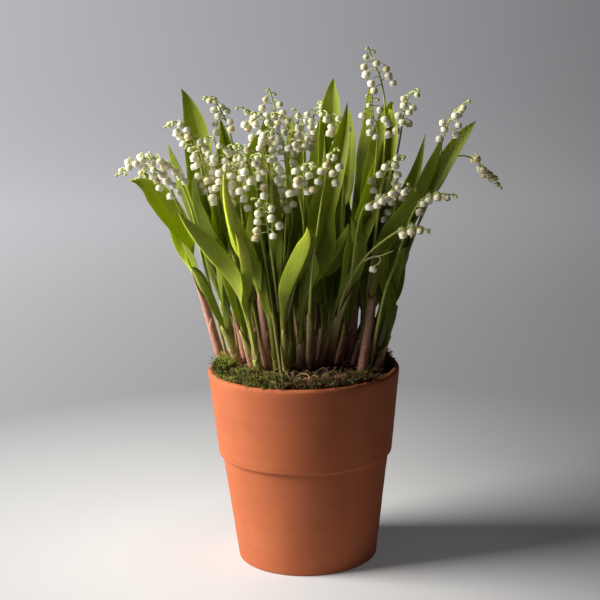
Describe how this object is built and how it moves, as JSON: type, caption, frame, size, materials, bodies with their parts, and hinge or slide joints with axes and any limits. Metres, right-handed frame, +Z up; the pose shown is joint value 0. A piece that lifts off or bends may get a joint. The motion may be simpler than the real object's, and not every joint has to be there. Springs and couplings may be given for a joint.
{
  "type": "potted lily of the valley",
  "caption": "Clump of lily of the valley with arching stalks of white bells over lance-shaped leaves, planted in a tapered terracotta pot with a deep collar and moss on the soil.",
  "frame": {"origin": "centre of the pot's flat underside", "axes": "+Z up along the pot's axis, -Y the front, +X to the right seen from the front"},
  "size_m": [0.2968, 0.189, 0.4006],
  "materials": {
    "terracotta": "unglazed fired clay, matte, faintly mottled",
    "soil": "dark crumbly potting compost with bark and dry litter",
    "moss": "matte feathery moss, olive green to brown",
    "leaf": "satin green leaf with fine lengthwise veins, pinkish brown at the foot",
    "flower": "waxy white bells on pale green stalks"
  },
  "bodies": {
    "root": {"pot": "terracotta", "soil": "soil", "moss_front_left": "moss", "moss_front_right": "moss", "moss_back_left": "moss", "moss_back_right": "moss", "flower_stalk_01": "flower", "flower_stalk_02": "flower", "flower_stalk_03": "flower", "flower_stalk_04": "flower", "flower_stalk_05": "flower", "flower_stalk_06": "flower", "flower_stalk_07": "flower", "flower_stalk_08": "flower", "flower_stalk_09": "flower", "flower_stalk_10": "flower", "flower_stalk_11": "flower", "flower_stalk_12": "flower", "flower_stalk_13": "flower", "flower_stalk_14": "flower", "flower_stalk_15": "flower", "flower_stalk_16": "flower", "flower_stalk_17": "flower", "flower_stalk_18": "flower", "leaf_01_outer": "leaf", "leaf_01_inner": "leaf", "leaf_02_outer": "leaf", "leaf_02_inner": "leaf", "leaf_03_outer": "leaf", "leaf_03_inner": "leaf", "leaf_04_outer": "leaf", "leaf_04_inner": "leaf", "leaf_05_outer": "leaf", "leaf_05_inner": "leaf", "leaf_06_outer": "leaf", "leaf_06_inner": "leaf", "leaf_07_outer": "leaf", "leaf_07_inner": "leaf", "leaf_08_outer": "leaf", "leaf_08_inner": "leaf", "leaf_09_outer": "leaf", "leaf_09_inner": "leaf", "leaf_10_outer": "leaf", "leaf_10_inner": "leaf", "leaf_11_outer": "leaf", "leaf_11_inner": "leaf", "leaf_12_outer": "leaf", "leaf_12_inner": "leaf", "leaf_13_outer": "leaf", "leaf_13_inner": "leaf", "leaf_14_outer": "leaf", "leaf_14_inner": "leaf", "leaf_15_outer": "leaf", "leaf_15_inner": "leaf", "leaf_16_outer": "leaf", "leaf_16_inner": "leaf", "leaf_17_outer": "leaf", "leaf_17_inner": "leaf", "leaf_18_outer": "leaf", "leaf_18_inner": "leaf"}
  },
  "joints": []
}
